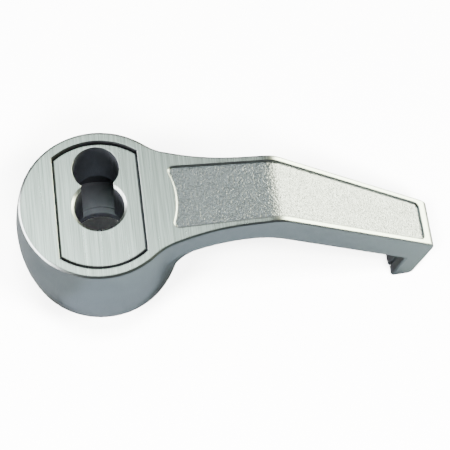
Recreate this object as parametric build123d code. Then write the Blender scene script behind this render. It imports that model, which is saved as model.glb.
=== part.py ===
from build123d import *
import math
import os

# Door lever for a figure-eight interchangeable core, in millimetres.
# +Z is the hub axis, out of the door.  +X runs along the arm.  The origin is on
# the hub axis, in the plane of the hub's base.

# Hub
HUB_HEIGHT = 36.0
HUB_RADIUS = 25.8
HUB_CROWN = 1.8
FRONT_WALL = 4.0
CAVITY_RADIUS = 23.0

# Arm, in two flat sections, and its return towards the door
ARM_THICKNESS = 11.7
SLOPE_THICKNESS = 11.5
ARM_ROOT_WIDTH = 27.4
ARM_BEND_WIDTH = 24.2
ARM_TIP_WIDTH = 17.7
BEND_REACH = 58.3
BEND_ANGLE = 36.0
BEND_ROUND = 10.0
BEND_UNDER_ROUND = 20.0
UNDER_FLAT = 2.0
TIP_REACH = 117.8
TIP_ROUND = 4.0
RETURN_DEPTH = 23.6
RETURN_THICKNESS = 8.2
RETURN_LEAN = 11.0
RETURN_HEEL_ROUND = 3.0
RETURN_TOE_ROUND = 1.0
FLARE_ROUND = 90.0
FLARE_SINK = 1.8
ROOT_ROUND = 15.2
EDGE_BREAK = 0.6

# Sunk panel on the arm's face
PANEL_DEPTH = 0.8
PANEL_BEVEL = 0.55
PANEL_RIM = 2.4
PANEL_END_RIM = 5.4
PANEL_HUB_RADIUS = 25.4
PANEL_CORNER = 1.4

# Cored back of the arm, and the tongue on the return's inner face
CORE_SKIN = 4.0
CORE_WALL = 2.8
CORE_RIB = 2.6
CORE_START = 45.0
CORE_END_WALL = 4.0
CORE_CORNER = 1.8
TONGUE_WIDTH = 10.8
TONGUE_PROUD = 0.9
TONGUE_ROUND = 0.8
TONGUE_GROOVE = 0.7
TONGUE_GROOVE_DEPTH = 1.2

# Core housing: a double-D front in the hub's face, on a round flange behind it
FRONT_WIDTH = 27.0
FRONT_RADIUS = 21.7
FRONT_SIDE_GAP = 0.6
FRONT_ARC_GAP = 1.0
FRONT_RECESS = 0.6
FRONT_BREAK = 0.25
FLANGE_THICKNESS = 3.0
HOUSING_DEPTH = 21.4
HOUSING_WALL = 2.4

# Figure-eight chamber
PLUG_RADIUS = 8.1
PIN_RADIUS = 7.7
LOBE_PITCH = 13.4
WAIST_WIDTH = 10.6
CHAMBER_SHIFT = -0.5
COUNTERSINK = 0.9
LUG_RADIUS = 10.1
LUG_DEPTH = 10.6
LUG_HEIGHT = 3.6
LUG_START_ANGLE = -75.0
LUG_SWEEP = 60.0

# Spindle plate that closes the hub's back and drives the lock
PLATE_THICKNESS = 2.2
PLATE_RADIUS = 23.7
PLATE_BORE_RADIUS = 11.5
PLATE_STEP_RADIUS = 13.5
PLATE_STEP_DEPTH = 0.8
PLATE_COLLAR_WALL = 2.5
PLATE_SLOT_WIDTH = 5.0
PLATE_SLOT_REACH = 14.8

# Keys cast in the hub's bore, which turn the plate
KEY_WIDTH = 6.0
KEY_RADIUS = 20.8
KEY_LENGTH = 8.0

# Spring rings that hold the housing and the plate
RING_THICKNESS = 1.2
RING_WIDTH = 3.2
RING_SEAT = 0.8
RING_GAP_ANGLE = 72.0
RING_LUG_RADIUS = 2.1
RING_LUG_HOLE = 0.9
RING_BASE_MARGIN = 0.65

# Fits
RUNNING_GAP = 0.1
LOOSE_GAP = 0.3
GROOVE_GAP = 0.05

# Worked out from the sizes above
SLOPE = math.radians(BEND_ANGLE)
LEAN = math.radians(RETURN_LEAN)
SHOULDER_Z = HUB_HEIGHT - FRONT_WALL
FLANGE_RADIUS = CAVITY_RADIUS - LOOSE_GAP
FLANGE_Z = SHOULDER_Z - FLANGE_THICKNESS
FRONT_Z = HUB_HEIGHT - FRONT_RECESS
PLATE_Z = RING_BASE_MARGIN + RING_THICKNESS
PLATE_SEAT_Z = PLATE_Z + PLATE_THICKNESS
PLATE_SEAT_RADIUS = PLATE_RADIUS + RUNNING_GAP
PIN_Y = CHAMBER_SHIFT + LOBE_PITCH
TIP_Z = HUB_HEIGHT - (TIP_REACH - BEND_REACH) * math.tan(SLOPE)
RETURN_Z = TIP_Z - RETURN_DEPTH
PANEL_REACH = TIP_REACH - PANEL_END_RIM * math.cos(SLOPE)
# Prisms that only cut or limit reach well past the part
FAR = 3 * TIP_REACH


def half_width(x):
    """Half the arm's width at x: straight from the hub axis to the bend, and on to the tip."""
    if x < BEND_REACH:
        share = x / BEND_REACH
        return (ARM_ROOT_WIDTH + (ARM_BEND_WIDTH - ARM_ROOT_WIDTH) * share) / 2
    share = (x - BEND_REACH) / (TIP_REACH - BEND_REACH)
    return (ARM_BEND_WIDTH + (ARM_TIP_WIDTH - ARM_BEND_WIDTH) * share) / 2


def bend_corner(flat_depth, slope_depth):
    """Corner of the bend on a line that lies at these depths below the arm's two flat sections."""
    rise = flat_depth - slope_depth / math.cos(SLOPE)
    return (BEND_REACH + rise / math.tan(SLOPE), HUB_HEIGHT - flat_depth)


def slope_z(x, depth):
    """Height at x of the sloping section's line, depth below the face."""
    return HUB_HEIGHT - (x - BEND_REACH) * math.tan(SLOPE) - depth / math.cos(SLOPE)


def return_x(z, inset):
    """Place at height z of the return's outer face, or of a face inset from it."""
    return TIP_REACH - (TIP_Z - z) * math.tan(LEAN) - inset


def return_root():
    """Corner where the return's inner face meets the arm's underside."""
    drop = slope_z(return_x(TIP_Z, RETURN_THICKNESS), SLOPE_THICKNESS) - TIP_Z
    z = TIP_Z + drop / (1 + math.tan(LEAN) * math.tan(SLOPE))
    return (return_x(z, RETURN_THICKNESS), z)


def rounded_face(corners, rounds):
    """Closed outline through the corners, with each round on its corner."""
    face = make_face(Polyline(*corners, close=True))
    for corner, radius in zip(corners, rounds):
        if radius > 0:
            face = fillet(face.vertices().sort_by_distance(corner)[:1], radius)
    return face


def side_prism(face, low=-FAR, high=FAR):
    """A face drawn in X and Z, made solid from low to high in Y."""
    return Pos(0, high, 0) * extrude(Plane.XZ * face, amount=high - low)


def plan_prism(face, low=-FAR, high=FAR):
    """A face drawn in X and Y, made solid from low to high in Z."""
    return Pos(0, 0, low) * extrude(face, amount=high - low)


def disc(radius, low, high):
    """A cylinder on the hub axis."""
    return plan_prism(Circle(radius), low, high)


def mirrored(points):
    """A half outline given from hub to tip, closed by its mirror image in Y."""
    return list(points) + [(x, -y) for x, y in reversed(points)]


# Lever casting

def hub_barrel():
    """The hub's drum, crowned between its base and its face."""
    with BuildSketch(Plane.XZ) as section:
        with BuildLine():
            Polyline((HUB_RADIUS, HUB_HEIGHT), (0, HUB_HEIGHT), (0, 0), (HUB_RADIUS, 0))
            ThreePointArc(
                (HUB_RADIUS, 0), (HUB_RADIUS + HUB_CROWN, HUB_HEIGHT / 2), (HUB_RADIUS, HUB_HEIGHT)
            )
        make_face()
    return revolve(section.sketch, axis=Axis.Z)


def under_round():
    """Round under the bend, limited so that a flat stays between it and the root's blend."""
    blend_end = HUB_RADIUS + HUB_CROWN + ROOT_ROUND
    room = bend_corner(ARM_THICKNESS, SLOPE_THICKNESS)[0] - blend_end - UNDER_FLAT
    return min(BEND_UNDER_ROUND, room / math.tan(SLOPE / 2))


def arm_profile():
    """The arm's side view: face, return, underside."""
    corners = [
        (0, HUB_HEIGHT),
        (BEND_REACH, HUB_HEIGHT),
        (TIP_REACH, TIP_Z),
        (return_x(RETURN_Z, 0), RETURN_Z),
        (return_x(RETURN_Z, RETURN_THICKNESS), RETURN_Z),
        return_root(),
        bend_corner(ARM_THICKNESS, SLOPE_THICKNESS),
        (0, HUB_HEIGHT - ARM_THICKNESS),
    ]
    rounds = [
        0, BEND_ROUND, TIP_ROUND, RETURN_HEEL_ROUND, RETURN_TOE_ROUND, 0, under_round(), 0
    ]
    return rounded_face(corners, rounds)


def arm_plan():
    """The arm's plan, flared where it leaves a disc that lies inside the hub."""
    side = [(x, half_width(x)) for x in (0, BEND_REACH, TIP_REACH)]
    plan = Circle(HUB_RADIUS - FLARE_SINK) + make_face(Polyline(*mirrored(side), close=True))
    roots = [v for v in plan.vertices() if v.X < BEND_REACH and v.Y != 0 and v.X > 0]
    return fillet(roots, FLARE_ROUND)


def crown_radius(z):
    """The drum's radius at height z, close enough to tell its edges apart."""
    share = z / HUB_HEIGHT
    return HUB_RADIUS + HUB_CROWN * 4 * share * (1 - share)


def root_edges(body):
    """Edges where the arm's flanks and underside leave the drum."""
    found = []
    for edge in body.edges():
        middle = edge @ 0.5
        on_drum = abs(math.hypot(middle.X, middle.Y) - crown_radius(middle.Z)) < HUB_CROWN / 5
        inside = HUB_HEIGHT - 1.5 * ARM_THICKNESS < middle.Z < HUB_HEIGHT - EDGE_BREAK / 2
        if on_drum and inside and middle.X > 0:
            found.append(edge)
    return found


def face_edges(body):
    """Outline of the hub's face and of the arm's first section."""
    face = body.faces().filter_by(Plane.XY).sort_by(Axis.Z)[-1]
    crease = face.edges().filter_by(Axis.Y)
    return [edge for edge in face.edges() if edge not in crease]


def arm_band(depth):
    """Side view of all that lies more than depth below the arm's face."""
    corners = [
        (0, HUB_HEIGHT - depth),
        bend_corner(depth, depth),
        (FAR, slope_z(FAR, depth)),
        (0, slope_z(FAR, depth)),
    ]
    return rounded_face(corners, [0, BEND_ROUND - depth if depth < BEND_ROUND else 0, 0, 0])


def panel_pocket():
    """The sunk panel: it starts on an arc round the hub and follows the bend."""
    side = [(x, half_width(x) - PANEL_RIM) for x in (HUB_RADIUS / 2, BEND_REACH, PANEL_REACH)]
    outline = make_face(Polyline(*mirrored(side), close=True)) - Circle(PANEL_HUB_RADIUS)
    corners = [v for v in outline.vertices() if abs(v.X - BEND_REACH) > PANEL_CORNER]
    outline = fillet(corners, PANEL_CORNER)
    return plan_prism(outline) - side_prism(arm_band(PANEL_DEPTH))


def panel_edges(body):
    """Top edges of the sunk panel, where its walls meet the arm's face."""
    found = []
    for edge in body.edges():
        middle = edge @ 0.5
        depth = min(HUB_HEIGHT - middle.Z, (slope_z(middle.X, 0) - middle.Z) * math.cos(SLOPE))
        inside = abs(middle.Y) < half_width(middle.X) - PANEL_RIM / 2
        beyond_hub = math.hypot(middle.X, middle.Y) > PANEL_HUB_RADIUS - PANEL_BEVEL
        short_of_tip = 0 < middle.X < PANEL_REACH + PANEL_BEVEL
        if abs(depth) < PANEL_DEPTH / 4 and inside and beyond_hub and short_of_tip:
            found.append(edge)
    return found


def back_pockets():
    """The two cored pockets in the arm's back, on each side of a middle rib."""
    end = return_root()[0] - CORE_END_WALL
    inner = [(end, CORE_RIB / 2), (CORE_START, CORE_RIB / 2)]
    outer = [(x, half_width(x) - CORE_WALL) for x in (CORE_START, BEND_REACH, end)]
    corner = [CORE_CORNER, CORE_CORNER, CORE_CORNER, 0, CORE_CORNER]
    pocket = plan_prism(rounded_face(inner + outer, corner)) & side_prism(arm_band(CORE_SKIN))
    return pocket + mirror(pocket, about=Plane.XZ)


def return_tongue():
    """A pad on the return's inner face, set off from the side cheeks by two grooves."""
    top_x, top_z = return_root()
    low = RETURN_Z + RETURN_TOE_ROUND
    foot_x = return_x(low, RETURN_THICKNESS)
    pad = rounded_face(
        [
            (top_x + TONGUE_PROUD, top_z),
            (top_x - TONGUE_PROUD, top_z + TONGUE_PROUD * math.tan(SLOPE)),
            (foot_x - TONGUE_PROUD, low),
            (foot_x + TONGUE_PROUD, low),
        ],
        [0, 0, TONGUE_ROUND, 0],
    )
    reach = RETURN_DEPTH
    slot = make_face(
        Polyline(
            (top_x + TONGUE_GROOVE_DEPTH, top_z),
            (top_x - TONGUE_PROUD, top_z),
            (return_x(top_z - reach, RETURN_THICKNESS) - TONGUE_PROUD, top_z - reach),
            (return_x(top_z - reach, RETURN_THICKNESS) + TONGUE_GROOVE_DEPTH, top_z - reach),
            close=True,
        )
    )
    edge = TONGUE_WIDTH / 2
    groove = side_prism(slot, edge, edge + TONGUE_GROOVE)
    return side_prism(pad, -edge, edge), groove + mirror(groove, about=Plane.XZ)


def double_d(width, radius):
    """A disc with two flats that face along X."""
    return Circle(radius) & Rectangle(width, 2 * radius)


def ring_groove(low, outer):
    """Room for a spring ring in the hub's bore."""
    return disc(outer + RUNNING_GAP, low - GROOVE_GAP, low + RING_THICKNESS + GROOVE_GAP)


def key_slots(low, high, gap):
    """The two cast keys at the ends of the X axis, grown by a gap."""
    reach = 2 * HUB_RADIUS
    bar = plan_prism(Rectangle(reach, KEY_WIDTH + 2 * gap), low, high)
    return bar - disc(KEY_RADIUS - gap, low, high)


def lever():
    """Hub, arm and return, cast in one piece."""
    body = hub_barrel() + (side_prism(arm_profile()) & plan_prism(arm_plan()))
    body = body.fillet(ROOT_ROUND, root_edges(body))
    body = body.chamfer(EDGE_BREAK, None, face_edges(body))
    body -= panel_pocket()
    body = body.chamfer(PANEL_BEVEL, None, panel_edges(body))
    body -= back_pockets()
    pad, grooves = return_tongue()
    body = body + pad - grooves
    opening = double_d(FRONT_WIDTH + 2 * FRONT_SIDE_GAP, FRONT_RADIUS + FRONT_ARC_GAP)
    body -= plan_prism(opening, SHOULDER_Z, FAR)
    bore = disc(CAVITY_RADIUS, 0, SHOULDER_Z) + disc(PLATE_SEAT_RADIUS, 0, PLATE_SEAT_Z)
    keys = key_slots(PLATE_Z + RUNNING_GAP, PLATE_SEAT_Z + KEY_LENGTH, 0)
    body -= bore - keys
    body -= ring_groove(FLANGE_Z - RING_THICKNESS, CAVITY_RADIUS + RING_SEAT)
    body -= ring_groove(PLATE_Z - RING_THICKNESS, PLATE_SEAT_RADIUS + RING_SEAT)
    return body


# Core housing

def figure_eight(wall):
    """The chamber's outline, grown by a wall: plug lobe, pin lobe and waist."""
    plug = Pos(0, CHAMBER_SHIFT) * Circle(PLUG_RADIUS + wall)
    pins = Pos(0, PIN_Y) * Circle(PIN_RADIUS + wall)
    waist = Pos(0, CHAMBER_SHIFT + LOBE_PITCH / 2) * Rectangle(WAIST_WIDTH + 2 * wall, LOBE_PITCH)
    return plug + pins + waist


def lug_pocket():
    """Pocket beside the plug lobe that the core's control lug turns into."""
    high = FRONT_Z - LUG_DEPTH
    ring = disc(LUG_RADIUS, high - LUG_HEIGHT, high)
    fan = [(0, 0)]
    for angle in (LUG_START_ANGLE, LUG_START_ANGLE + LUG_SWEEP / 2, LUG_START_ANGLE + LUG_SWEEP):
        turn = math.radians(angle)
        fan.append((2 * LUG_RADIUS * math.cos(turn), 2 * LUG_RADIUS * math.sin(turn)))
    sector = plan_prism(make_face(Polyline(*fan, close=True)), high - LUG_HEIGHT, high)
    return Pos(0, CHAMBER_SHIFT, 0) * (ring & sector)


def core_housing():
    """Double-D front, round flange and the walls round the chamber."""
    front = plan_prism(double_d(FRONT_WIDTH, FRONT_RADIUS), SHOULDER_Z, FRONT_Z)
    front = chamfer(front.faces().sort_by(Axis.Z)[-1].edges(), FRONT_BREAK)
    flange = disc(FLANGE_RADIUS, FLANGE_Z, SHOULDER_Z)
    flange -= key_slots(FLANGE_Z, SHOULDER_Z, LOOSE_GAP)
    tail = FRONT_Z - HOUSING_DEPTH
    walls = plan_prism(figure_eight(HOUSING_WALL), tail, FLANGE_Z) & disc(FLANGE_RADIUS, tail, FLANGE_Z)
    body = front + flange + walls
    body -= plan_prism(figure_eight(0), tail, FRONT_Z)
    mouth = Cone(PLUG_RADIUS, PLUG_RADIUS + COUNTERSINK, COUNTERSINK)
    body -= Pos(0, CHAMBER_SHIFT, FRONT_Z - COUNTERSINK / 2) * mouth
    return body - lug_pocket()


# Spindle plate and spring rings

def spindle_plate():
    """Steel plate with a collar round the spindle's bore, drive slots and notches for the keys."""
    body = disc(PLATE_RADIUS, PLATE_Z, PLATE_SEAT_Z)
    body += disc(PLATE_BORE_RADIUS + PLATE_COLLAR_WALL, 0, PLATE_Z)
    body -= disc(PLATE_BORE_RADIUS, 0, PLATE_SEAT_Z)
    body -= disc(PLATE_STEP_RADIUS, PLATE_SEAT_Z - PLATE_STEP_DEPTH, PLATE_SEAT_Z)
    body -= key_slots(PLATE_Z, PLATE_SEAT_Z, RUNNING_GAP)
    slot = Rectangle(2 * PLATE_SLOT_REACH, PLATE_SLOT_WIDTH)
    return body - plan_prism(slot, 0, PLATE_SEAT_Z)


def spring_ring(outer, low):
    """Open ring that springs into a groove, with a holed lug at each end of its gap."""
    inner = outer - RING_WIDTH
    half_gap = math.radians(RING_GAP_ANGLE / 2)
    gap = make_face(
        Polyline(
            (0, 0),
            (2 * outer * math.sin(half_gap), 2 * outer * math.cos(half_gap)),
            (-2 * outer * math.sin(half_gap), 2 * outer * math.cos(half_gap)),
            close=True,
        )
    )
    ring = Circle(outer) - Circle(inner) - gap
    holes = Sketch()
    lug_turn = half_gap + RING_LUG_RADIUS / inner
    for side in (-1, 1):
        place = Pos(side * inner * math.sin(lug_turn), inner * math.cos(lug_turn))
        ring += place * Circle(RING_LUG_RADIUS)
        holes += place * Circle(RING_LUG_HOLE)
    return plan_prism(ring - holes, low, low + RING_THICKNESS)


NODES = {
    "lever": lever(),
    "core_housing": core_housing(),
    "housing_ring": spring_ring(CAVITY_RADIUS + RING_SEAT, FLANGE_Z - RING_THICKNESS),
    "spindle_plate": spindle_plate(),
    "plate_ring": spring_ring(PLATE_SEAT_RADIUS + RING_SEAT, PLATE_Z - RING_THICKNESS),
}

os.makedirs("parts", exist_ok=True)
for name, shape in NODES.items():
    export_step(shape, f"parts/{name}.step")
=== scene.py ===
import math

import bpy
import numpy as np
from mathutils import Matrix, Vector


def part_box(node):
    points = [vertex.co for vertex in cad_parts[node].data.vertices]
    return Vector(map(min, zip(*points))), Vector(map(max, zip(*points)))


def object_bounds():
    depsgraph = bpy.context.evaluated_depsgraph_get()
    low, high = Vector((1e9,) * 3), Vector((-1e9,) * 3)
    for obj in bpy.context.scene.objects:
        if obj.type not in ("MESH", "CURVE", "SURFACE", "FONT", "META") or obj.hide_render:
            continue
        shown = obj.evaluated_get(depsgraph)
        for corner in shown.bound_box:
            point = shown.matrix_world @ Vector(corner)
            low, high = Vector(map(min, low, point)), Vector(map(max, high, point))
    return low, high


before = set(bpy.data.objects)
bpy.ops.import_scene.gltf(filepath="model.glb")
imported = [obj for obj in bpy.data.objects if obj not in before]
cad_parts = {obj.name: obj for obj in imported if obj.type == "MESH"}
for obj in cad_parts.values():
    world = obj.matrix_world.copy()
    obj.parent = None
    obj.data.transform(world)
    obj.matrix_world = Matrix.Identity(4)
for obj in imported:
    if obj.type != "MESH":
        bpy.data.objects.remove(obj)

cad_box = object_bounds()

# Sizes of the lever, in metres, along its own axes: Z out of the hub's face, X along the arm.
MM = 0.001
HUB_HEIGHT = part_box("lever")[1].z
HUB_RADIUS = 25.8 * MM
BORE_RADIUS = 24.9 * MM
HOUSING_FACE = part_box("core_housing")[1].z
BEND_REACH = 58.3 * MM
BEND_SLOPE = math.radians(36.0)
BEND_ROUND = 10.0 * MM
PANEL_DEPTH = 0.8 * MM
COUNTERSINK = 0.9 * MM

# Where each finish starts and ends: a normal's share along Z, and depths below a face
LEVEL = 0.99
OUTWARD = 0.6
HOUSING_OUTWARD = 0.5
FACE_SKIN = 0.1 * MM
BORE_SKIN = 0.01 * MM
PANEL_FROM = 0.6 * PANEL_DEPTH
PANEL_TO = 1.2 * PANEL_DEPTH
HOUSING_SKIN = 1.1 * COUNTERSINK

# The photograph's camera, in a 450 by 450 frame
FRAME_PIXELS = 450
FOCAL_PIXELS = 1422.6
SENSOR = 36.0
CAMERA_AZIMUTH = math.radians(-14.15)
CAMERA_ELEVATION = math.radians(66.04)
CAMERA_ROLL = math.radians(-7.58)
CAMERA_DISTANCE = 457.8 * MM
CAMERA_AIM = Vector((39.54, -11.39, 35.39)) * MM
CAMERA_NEAR = 10 * MM
CAMERA_FAR = 20.0

# The floor just clears the return, the lowest point of the lever.
FLOOR_GAP = 0.3 * MM
FLOOR_CORNERS = [(-2.5, -2.5), (2.5, -2.5), (2.5, 2.5), (-2.5, 2.5)]
FLOOR_COLOUR = "#f4f4f2"
BACKDROP_RADIUS = 2.4
BACKDROP_HEIGHT = 3.0
BACKDROP_STEPS = 64
BACKDROP_COLOUR = "#f6f7f8"
BACKDROP_GLOW = 4.0
MATT_ROUGHNESS = 0.9

# The cards lie just above the floor. They stop short of the arm's root and of the return, which
# stay dark, and the one beside the hub is darker, because a soft box stands close to it.
CARD_GAP = 0.1 * MM
CARD_CORNERS = [
    (-0.030, -0.45), (0.35, -0.45), (0.35, -0.006), (0.104, -0.006),
    (0.104, -0.014), (0.046, -0.014), (0.046, -0.024), (-0.030, -0.024),
]
SIDE_CARD_CORNERS = [(-0.30, -0.45), (-0.030, -0.45), (-0.030, 0.036), (-0.30, 0.036)]
CARDS = {
    "card": (CARD_CORNERS, "#9da5b9"),
    "side_card": (SIDE_CARD_CORNERS, "#868a95"),
}

# Soft boxes as direction, distance, width, height, radiance and colour. The floor's four stand
# round the camera's direction, so the lever hides most of its own shadow.
METAL_BOXES = {
    "box_over": ((-0.17, 0.22, 0.96), 0.9, 0.46, 0.44, 5.2, "#e9fbf2"),
    "box_tip_side": ((0.90, 0.38, 0.20), 0.8, 0.70, 0.60, 18.0, "#f7fbd8"),
    "box_hub_side": ((-0.97, -0.02, 0.22), 0.8, 1.05, 0.40, 12.0, "#ffffff"),
    "box_back": ((0.10, 0.93, 0.38), 0.9, 0.80, 0.30, 1.2, "#ffffff"),
}
CHAMBER_BOXES = {"box_chamber": ((0.12, -0.40, 0.90), 0.9, 0.25, 0.25, 19.0, "#ffffff")}
FLOOR_BOX = (2.0, 0.34, 0.34, 500.0, "#ffffff")
FLOOR_BOXES = {
    "ring_left": ((-0.36, -0.43, 1.0), *FLOOR_BOX),
    "ring_right": ((0.36, -0.43, 1.0), *FLOOR_BOX),
    "ring_low": ((0.0, -0.70, 1.0), *FLOOR_BOX),
    "ring_high": ((0.0, -0.16, 1.0), *FLOOR_BOX),
}
SURROUND_COLOUR = "#e8ecf2"
SURROUND_STRENGTH = 0.08


def linear(code):
    """An sRGB hex colour as linear RGBA."""
    channels = [int(code[i : i + 2], 16) / 255 for i in (1, 3, 5)]
    return [c / 12.92 if c <= 0.04045 else ((c + 0.055) / 1.055) ** 2.4 for c in channels] + [1.0]


def node(tree, kind, settings=None, inputs=None):
    """Adds a node; settings are its own properties, inputs are values or sockets to link."""
    made = tree.nodes.new(kind)
    for name, value in (settings or {}).items():
        setattr(made, name, value)
    for name, value in (inputs or {}).items():
        if isinstance(value, bpy.types.NodeSocket):
            tree.links.new(value, made.inputs[name])
        else:
            made.inputs[name].default_value = value
    return made


def new_material(name):
    """An empty node material and its tree."""
    material = bpy.data.materials.new(name)
    material.use_nodes = True
    material.node_tree.nodes.clear()
    return material, material.node_tree


def per_mm(size):
    """The scale that gives a pattern its real size in millimetres."""
    return 1 / (size * MM)


# Noise seldom leaves this range, which is stretched to the full contrast.
NOISE_LOW = 0.3
NOISE_HIGH = 0.7

# Sockets of the colour mix: the share, the colour at none of it, and the colour at all of it
MIX_SHARE, MIX_NONE, MIX_ALL, MIX_RESULT = 0, 6, 7, 2

# Finishing leaves no sharp edge on the chrome: within this many millimetres of an edge the sheen
# turns the corner.
FACE_EASE = 0.45
RIM_EASE = 0.5
HOUSING_EASE = 0.35
EASE_SAMPLES = 6

# Satin chrome over a zinc die casting, its flat face drawn over a belt: long hairlines across the
# arm's length, each a little lighter or darker than the next. The hairlines are drawn as coarse as
# they need to show.
BRUSH_WIDTH = 0.32
BRUSH_LENGTH = 26.0
BRUSH_STREAK_WIDTH = 1.4
BRUSH_DEPTH = 0.02
BRUSH_STRENGTH = 0.3
BRUSH_SPREAD = 0.07


def brushed_chrome(name, dark, light, roughness, ease):
    material, tree = new_material(name)
    eased = {"Radius": ease * MM}
    eased = node(tree, "ShaderNodeBevel", {"samples": EASE_SAMPLES}, eased).outputs["Normal"]
    here = node(tree, "ShaderNodeTexCoord").outputs["Object"]
    hair = [per_mm(BRUSH_WIDTH), per_mm(BRUSH_LENGTH), per_mm(BRUSH_LENGTH)]
    band = [per_mm(BRUSH_STREAK_WIDTH), per_mm(BRUSH_LENGTH), per_mm(BRUSH_LENGTH)]
    hair = node(tree, "ShaderNodeMapping", {}, {"Vector": here, "Scale": hair}).outputs["Vector"]
    band = node(tree, "ShaderNodeMapping", {}, {"Vector": here, "Scale": band}).outputs["Vector"]
    fine = {"Vector": hair, "Scale": 1.0, "Detail": 3.0, "Roughness": 0.65}
    hairs = node(tree, "ShaderNodeTexNoise", {}, fine).outputs["Fac"]
    broad = {"Vector": band, "Scale": 1.0, "Detail": 2.0}
    bands = node(tree, "ShaderNodeTexNoise", {}, broad).outputs["Fac"]
    shade = {"Value": hairs, "From Min": NOISE_LOW, "From Max": NOISE_HIGH}
    shade = node(tree, "ShaderNodeMapRange", {}, shade).outputs["Result"]
    colour = {MIX_SHARE: shade, MIX_NONE: linear(dark), MIX_ALL: linear(light)}
    colour = node(tree, "ShaderNodeMix", {"data_type": "RGBA"}, colour).outputs[MIX_RESULT]
    dull = {"Value": bands, "To Min": roughness - BRUSH_SPREAD, "To Max": roughness + BRUSH_SPREAD}
    dull = node(tree, "ShaderNodeMapRange", {}, dull).outputs["Result"]
    raised = {"Height": hairs, "Strength": BRUSH_STRENGTH, "Distance": BRUSH_DEPTH * MM}
    raised = node(tree, "ShaderNodeBump", {}, {**raised, "Normal": eased}).outputs["Normal"]
    surface = {"Base Color": colour, "Metallic": 1.0, "Roughness": dull, "Normal": raised}
    surface = node(tree, "ShaderNodeBsdfPrincipled", {}, surface).outputs["BSDF"]
    node(tree, "ShaderNodeOutputMaterial", {}, {"Surface": surface})
    return material


# The same chrome on the walls and the rim: polished as cast, then dulled by fine blasting, so it is
# smooth to the eye with a faint cloudiness.
CLOUD_SIZE = 7.0
GRIT_SIZE = 0.22
GRIT_DEPTH = 0.02
GRIT_STRENGTH = 0.12
CLOUD_SPREAD = 0.05


def satin_chrome(name, dark, light, roughness, ease):
    material, tree = new_material(name)
    eased = {"Radius": ease * MM}
    eased = node(tree, "ShaderNodeBevel", {"samples": EASE_SAMPLES}, eased).outputs["Normal"]
    here = node(tree, "ShaderNodeTexCoord").outputs["Object"]
    soft = {"Vector": here, "Scale": per_mm(CLOUD_SIZE), "Detail": 3.0}
    clouds = node(tree, "ShaderNodeTexNoise", {}, soft).outputs["Fac"]
    fine = {"Vector": here, "Scale": per_mm(GRIT_SIZE), "Detail": 2.0}
    grit = node(tree, "ShaderNodeTexNoise", {}, fine).outputs["Fac"]
    colour = {MIX_SHARE: clouds, MIX_NONE: linear(dark), MIX_ALL: linear(light)}
    colour = node(tree, "ShaderNodeMix", {"data_type": "RGBA"}, colour).outputs[MIX_RESULT]
    dull = {"Value": clouds, "To Min": roughness - CLOUD_SPREAD, "To Max": roughness + CLOUD_SPREAD}
    dull = node(tree, "ShaderNodeMapRange", {}, dull).outputs["Result"]
    raised = {"Height": grit, "Strength": GRIT_STRENGTH, "Distance": GRIT_DEPTH * MM}
    raised = node(tree, "ShaderNodeBump", {}, {**raised, "Normal": eased}).outputs["Normal"]
    surface = {"Base Color": colour, "Metallic": 1.0, "Roughness": dull, "Normal": raised}
    surface = node(tree, "ShaderNodeBsdfPrincipled", {}, surface).outputs["BSDF"]
    node(tree, "ShaderNodeOutputMaterial", {}, {"Surface": surface})
    return material


# The panel's floor is cast with a fine pebble, so each grain throws its own small highlight. The
# real grain is finer, and is drawn as coarse as it needs to show.
PEBBLE_SIZE = 0.75
PEBBLE_HEIGHT = 0.4


def pebbled_chrome(name, dark, light, roughness):
    material, tree = new_material(name)
    here = node(tree, "ShaderNodeTexCoord").outputs["Object"]
    fine = {"Vector": here, "Scale": per_mm(PEBBLE_SIZE), "Detail": 2.5, "Roughness": 0.6}
    grains = node(tree, "ShaderNodeTexNoise", {}, fine).outputs["Fac"]
    shade = {"Value": grains, "From Min": NOISE_LOW, "From Max": NOISE_HIGH}
    shade = node(tree, "ShaderNodeMapRange", {}, shade).outputs["Result"]
    colour = {MIX_SHARE: shade, MIX_NONE: linear(dark), MIX_ALL: linear(light)}
    colour = node(tree, "ShaderNodeMix", {"data_type": "RGBA"}, colour).outputs[MIX_RESULT]
    raised = {"Height": grains, "Strength": 1.0, "Distance": PEBBLE_HEIGHT * MM}
    raised = node(tree, "ShaderNodeBump", {}, raised).outputs["Normal"]
    surface = {"Base Color": colour, "Metallic": 1.0, "Roughness": roughness, "Normal": raised}
    surface = node(tree, "ShaderNodeBsdfPrincipled", {}, surface).outputs["BSDF"]
    node(tree, "ShaderNodeOutputMaterial", {}, {"Surface": surface})
    return material


# Bare metal inside the hub: cast or turned and gone dull, so it scatters light as well as
# reflecting it, with a mottle or the tool's rings round the bore. The lever's own zinc there is
# coloured darker than bare zinc is, as painted shade in its hollow and round the insert.
BARE_DEPTH = 0.03
BARE_STRENGTH = 0.25
BARE_SPREAD = 0.06


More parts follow.
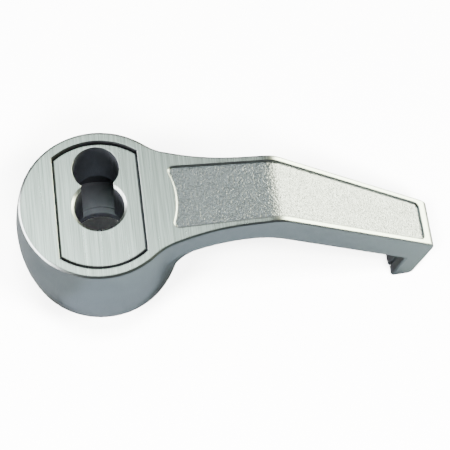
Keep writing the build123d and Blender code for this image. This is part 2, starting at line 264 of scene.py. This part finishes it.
def bare_metal(name, dark, light, roughness, metallic, grain):
    material, tree = new_material(name)
    here = node(tree, "ShaderNodeTexCoord").outputs["Object"]
    along = {"Vector": here, "Scale": [per_mm(size) for size in grain]}
    along = node(tree, "ShaderNodeMapping", {}, along).outputs["Vector"]
    mottle = {"Vector": along, "Scale": 1.0, "Detail": 3.0}
    mottle = node(tree, "ShaderNodeTexNoise", {}, mottle).outputs["Fac"]
    colour = {MIX_SHARE: mottle, MIX_NONE: linear(dark), MIX_ALL: linear(light)}
    colour = node(tree, "ShaderNodeMix", {"data_type": "RGBA"}, colour).outputs[MIX_RESULT]
    dull = {"Value": mottle, "To Min": roughness - BARE_SPREAD, "To Max": roughness + BARE_SPREAD}
    dull = node(tree, "ShaderNodeMapRange", {}, dull).outputs["Result"]
    raised = {"Height": mottle, "Strength": BARE_STRENGTH, "Distance": BARE_DEPTH * MM}
    raised = node(tree, "ShaderNodeBump", {}, raised).outputs["Normal"]
    surface = {"Base Color": colour, "Metallic": metallic, "Roughness": dull, "Normal": raised}
    surface = node(tree, "ShaderNodeBsdfPrincipled", {}, surface).outputs["BSDF"]
    node(tree, "ShaderNodeOutputMaterial", {}, {"Surface": surface})
    return material


def face_arrays(obj):
    """Centres and normals of a node's faces, as arrays."""
    count = len(obj.data.polygons)
    centres = np.empty(count * 3)
    normals = np.empty(count * 3)
    obj.data.polygons.foreach_get("center", centres)
    obj.data.polygons.foreach_get("normal", normals)
    return centres.reshape(-1, 3), normals.reshape(-1, 3)


def finish_node(name, finishes, choice):
    """Gives a node its finishes; choice holds each face's place in their list."""
    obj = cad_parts[name]
    obj.data.materials.clear()
    for finish in finishes:
        obj.data.materials.append(finish)
    obj.data.polygons.foreach_set("material_index", choice.astype(np.int32))
    obj.data.update()


def depth_below_face(centres):
    """Distance below the arm's face: a flat section, a cylinder round the bend, then a slope."""
    along = centres[:, 0] - BEND_REACH
    flat = HUB_HEIGHT - centres[:, 2]
    slope = flat * math.cos(BEND_SLOPE) - along * math.sin(BEND_SLOPE)
    from_axis_x = along + BEND_ROUND * math.tan(BEND_SLOPE / 2)
    from_axis_z = BEND_ROUND - flat
    turned = np.arctan2(from_axis_x, from_axis_z)
    bend = BEND_ROUND - np.hypot(from_axis_x, from_axis_z)
    return np.where(turned < 0, flat, np.where(turned > BEND_SLOPE, slope, bend))


def dress_lever():
    """Satin outside, brushed on the flat face, pebbled in the panel, bare zinc with painted shade
    in the hub.
    """
    centres, normals = face_arrays(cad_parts["lever"])
    height, upward = centres[:, 2], normals[:, 2]
    radius = np.hypot(centres[:, 0], centres[:, 1])
    depth = depth_below_face(centres)
    brushed = (upward > LEVEL) & (depth < FACE_SKIN)
    sunk = (depth > PANEL_FROM) & (depth < PANEL_TO)
    pebbled = (upward > OUTWARD) & sunk & (radius > HUB_RADIUS)
    inside = (radius < BORE_RADIUS) & (height > 0) & (height < HUB_HEIGHT - BORE_SKIN)
    choice = np.zeros(len(centres))
    choice[brushed] = 1
    choice[pebbled] = 2
    choice[inside] = 3
    finishes = [
        satin_chrome("satin_chrome_blasted", "#c0c6c5", "#ccd2d1", 0.30, RIM_EASE),
        brushed_chrome("satin_chrome_brushed", "#a4aaa7", "#e1e7e4", 0.30, FACE_EASE),
        pebbled_chrome("satin_chrome_pebbled", "#91949b", "#b6b9c0", 0.28),
        # The zinc inside the hub is coloured darker than bare zinc: painted shade for its hollow
        # and the seam round the insert.
        bare_metal("bare_zinc_and_painted_shade", "#5e6064", "#74767a", 0.65, 0.5, (1.5, 1.5, 1.5)),
    ]
    finish_node("lever", finishes, choice)


def dress_housing():
    """Bare inside the chamber and behind, brushed on its face."""
    centres, normals = face_arrays(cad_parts["core_housing"])
    choice = np.zeros(len(centres))
    in_front = centres[:, 2] > HOUSING_FACE - HOUSING_SKIN
    choice[(normals[:, 2] > HOUSING_OUTWARD) & in_front] = 1
    finishes = [
        bare_metal("housing_turned", "#757880", "#8d9098", 0.65, 0.95, (2.0, 2.0, 0.12)),
        brushed_chrome("housing_brushed", "#a2a8a5", "#dfe5e2", 0.30, HOUSING_EASE),
    ]
    finish_node("core_housing", finishes, choice)


def dress_inner():
    """A dull zinc plated plate, and spring rings dark with phosphate."""
    plated = bare_metal("steel_zinc_plated", "#80838a", "#989ba2", 0.50, 0.8, (3.0, 3.0, 3.0))
    sprung = bare_metal("spring_steel_phosphated", "#3a3a3c", "#4c4c4e", 0.5, 0.8, (1.0, 1.0, 1.0))
    inner = {"spindle_plate": plated, "plate_ring": sprung, "housing_ring": sprung}
    for name, finish in inner.items():
        finish_node(name, [finish], np.zeros(len(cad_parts[name].data.polygons)))


# The studio: a pale floor with its own wash of light, soft boxes round the lever, and grey cards
# below it that only the metal reflects


def matt_paper(name, code):
    """Plain matt paper or card, which scatters light evenly."""
    material, tree = new_material(name)
    surface = {"Base Color": linear(code), "Roughness": MATT_ROUGHNESS}
    surface = node(tree, "ShaderNodeBsdfPrincipled", {}, surface).outputs["BSDF"]
    node(tree, "ShaderNodeOutputMaterial", {}, {"Surface": surface})
    return material


def studio_piece(name, points, faces, finish):
    """A piece of the studio from its points and faces."""
    mesh = bpy.data.meshes.new(name)
    mesh.from_pydata(points, [], faces)
    mesh.materials.append(finish)
    piece = bpy.data.objects.new(name, mesh)
    bpy.context.scene.collection.objects.link(piece)
    return piece


def level_sheet(name, corners, height, finish):
    """A level sheet inside its corners."""
    points = [(x, y, height) for x, y in corners]
    return studio_piece(name, points, [range(len(corners))], finish)


def make_backdrop(height):
    """A pale round wall that lights nothing: an upright cylinder, angle by height."""
    turn = np.linspace(0, 2 * np.pi, BACKDROP_STEPS, endpoint=False)
    angle, rise = np.meshgrid(turn, [height, height + BACKDROP_HEIGHT])
    across = BACKDROP_RADIUS * np.cos(angle)
    away = BACKDROP_RADIUS * np.sin(angle)
    points = np.stack([across, away, rise], axis=-1).reshape(-1, 3)
    first = np.arange(BACKDROP_STEPS)
    after = (first + 1) % BACKDROP_STEPS
    faces = np.stack([first, after, after + BACKDROP_STEPS, first + BACKDROP_STEPS], axis=-1)
    material, tree = new_material("backdrop_pale")
    glow = {"Color": linear(BACKDROP_COLOUR), "Strength": BACKDROP_GLOW}
    glow = node(tree, "ShaderNodeEmission", {}, glow).outputs["Emission"]
    node(tree, "ShaderNodeOutputMaterial", {}, {"Surface": glow})
    wall = studio_piece("backdrop", points, faces.tolist(), material)
    wall.visible_glossy = wall.visible_diffuse = wall.visible_shadow = False


def make_floor():
    """The floor that the camera sees; the metal sees the cards instead."""
    height = cad_box[0].z - FLOOR_GAP
    floor = level_sheet("floor", FLOOR_CORNERS, height, matt_paper("paper_white", FLOOR_COLOUR))
    floor.visible_glossy = floor.visible_diffuse = False
    cards = []
    for name, (corners, code) in CARDS.items():
        card = level_sheet(name, corners, height + CARD_GAP, matt_paper(name + "_grey", code))
        card.visible_camera = card.visible_diffuse = card.visible_shadow = False
        cards.append(card)
    make_backdrop(height)
    return floor, cards


def soft_box(name, direction, distance, width, height, radiance, code):
    """A soft box that faces the lever from a direction; its power is pi * area * radiance."""
    light = bpy.data.lights.new(name, "AREA")
    light.shape = "RECTANGLE"
    light.size = width
    light.size_y = height
    light.energy = math.pi * width * height * radiance
    light.color = linear(code)[:3]
    lamp = bpy.data.objects.new(name, light)
    bpy.context.scene.collection.objects.link(lamp)
    way = Vector(direction).normalized()
    lamp.location = CAMERA_AIM + way * distance
    lamp.rotation_mode = "QUATERNION"
    lamp.rotation_quaternion = (-way).to_track_quat("-Z", "Y")
    return lamp


def make_light(floor, cards):
    """Boxes for the metal and the cards, for the chamber and for the floor, in a dim surround."""
    nodes = list(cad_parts.values())
    inner = [obj for name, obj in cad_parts.items() if name != "lever"]
    for group, boxes, lit in (
        ("metal_lit", METAL_BOXES, nodes + cards),
        ("chamber_lit", CHAMBER_BOXES, inner),
        ("floor_lit", FLOOR_BOXES, [floor]),
    ):
        receivers = bpy.data.collections.new(group)
        for obj in lit:
            receivers.objects.link(obj)
        for name, setting in boxes.items():
            soft_box(name, *setting).light_linking.receiver_collection = receivers
    world = bpy.data.worlds.new("surround")
    world.use_nodes = True
    surround = world.node_tree.nodes["Background"]
    surround.inputs["Color"].default_value = linear(SURROUND_COLOUR)
    surround.inputs["Strength"].default_value = SURROUND_STRENGTH
    bpy.context.scene.world = world


def make_camera():
    """The camera stands off its aim by azimuth and elevation, rolled about its line of sight."""
    reach = math.cos(CAMERA_ELEVATION)
    right = Vector((math.cos(CAMERA_AZIMUTH), math.sin(CAMERA_AZIMUTH), 0))
    back = Vector(
        (
            math.sin(CAMERA_AZIMUTH) * reach,
            -math.cos(CAMERA_AZIMUTH) * reach,
            math.sin(CAMERA_ELEVATION),
        )
    )
    up = back.cross(right)
    roll_right = right * math.cos(CAMERA_ROLL) - up * math.sin(CAMERA_ROLL)
    roll_up = right * math.sin(CAMERA_ROLL) + up * math.cos(CAMERA_ROLL)
    data = bpy.data.cameras.new("camera")
    data.sensor_width = SENSOR
    data.lens = FOCAL_PIXELS / FRAME_PIXELS * SENSOR
    data.clip_start = CAMERA_NEAR
    data.clip_end = CAMERA_FAR
    camera = bpy.data.objects.new("camera", data)
    bpy.context.scene.collection.objects.link(camera)
    axes = Matrix((roll_right, roll_up, back)).transposed()
    place = CAMERA_AIM + back * CAMERA_DISTANCE
    camera.matrix_world = Matrix.Translation(place) @ axes.to_4x4()
    bpy.context.scene.camera = camera


dress_lever()
dress_housing()
dress_inner()
make_light(*make_floor())
make_camera()
